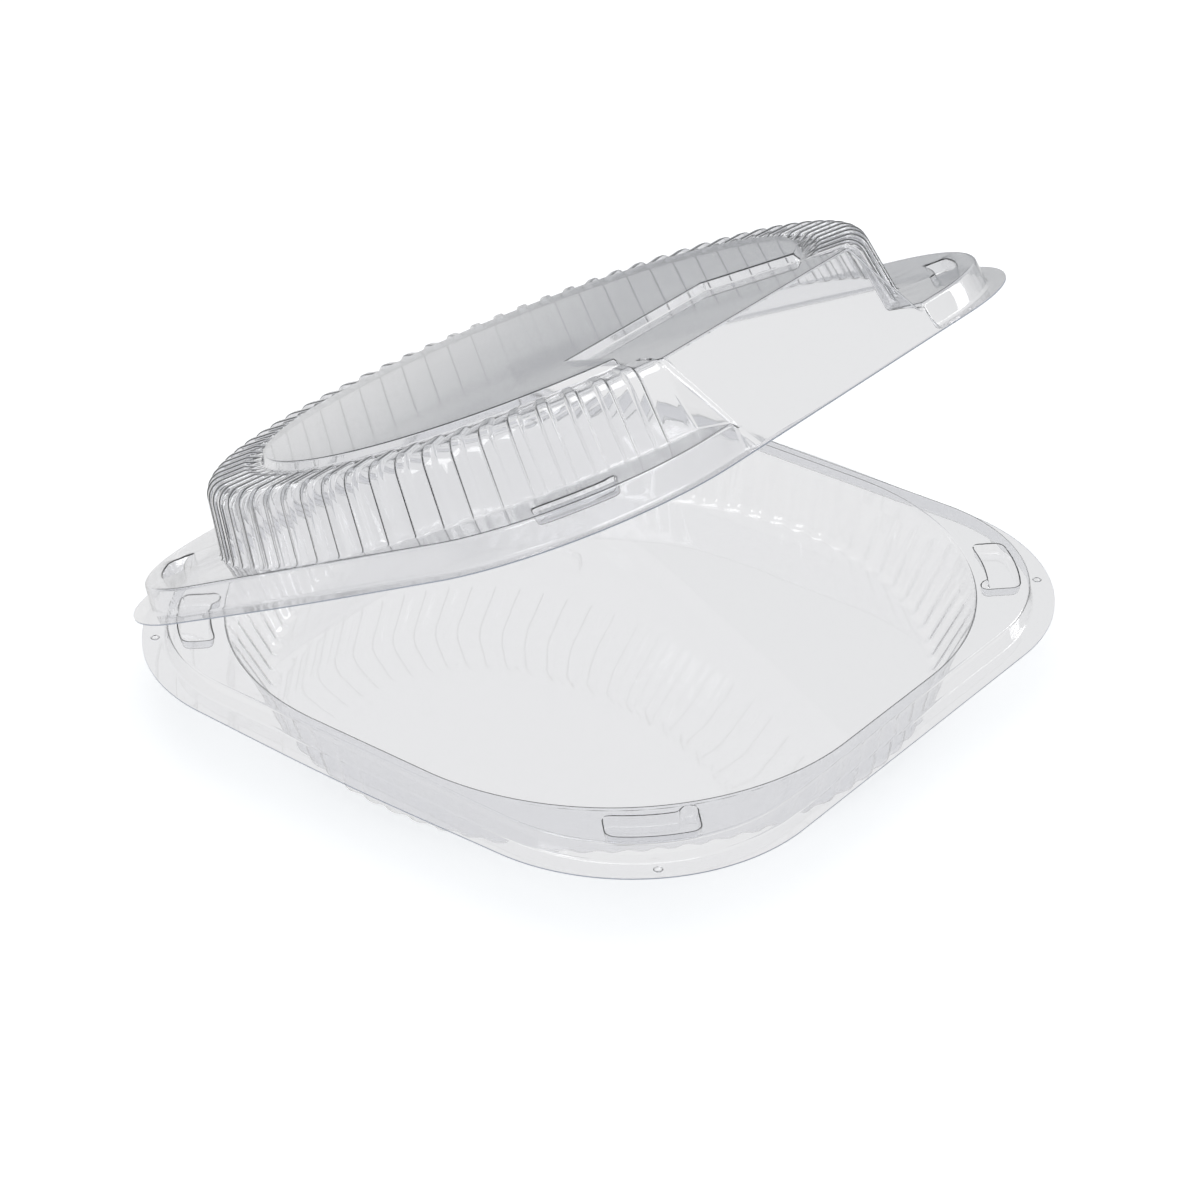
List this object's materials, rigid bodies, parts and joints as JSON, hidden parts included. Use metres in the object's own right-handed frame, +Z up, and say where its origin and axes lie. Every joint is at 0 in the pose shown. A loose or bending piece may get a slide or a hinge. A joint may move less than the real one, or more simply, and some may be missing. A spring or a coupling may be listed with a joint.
{
  "type": "hinged clamshell food pack",
  "caption": "Clear thermoformed clamshell pack for a round tart: square flanged tray with a fluted round tub, joined by a live hinge to a ribbed dome lid with corner snap pockets.",
  "frame": {"origin": "centre of the underside of the tub floor, on the surface that the pack stands on", "axes": "+Z up, -Y towards the front edge with the flat panel of the lid, live hinge along X at the back (+Y)"},
  "size_m": [0.295, 0.2919, 0.1746],
  "materials": {
    "clear_sheet": "clear gloss"
  },
  "bodies": {
    "tray": {"base": "clear_sheet", "live_hinge": "clear_sheet"},
    "cover": {"lid": "clear_sheet"}
  },
  "joints": [
    {"name": "lid_hinge", "type": "hinge", "parent": "tray", "child": "cover", "pos_m": [0, 0.1455, 0.02365], "axis": [-1, 0, 0], "range_deg": [-27, 123]}
  ]
}
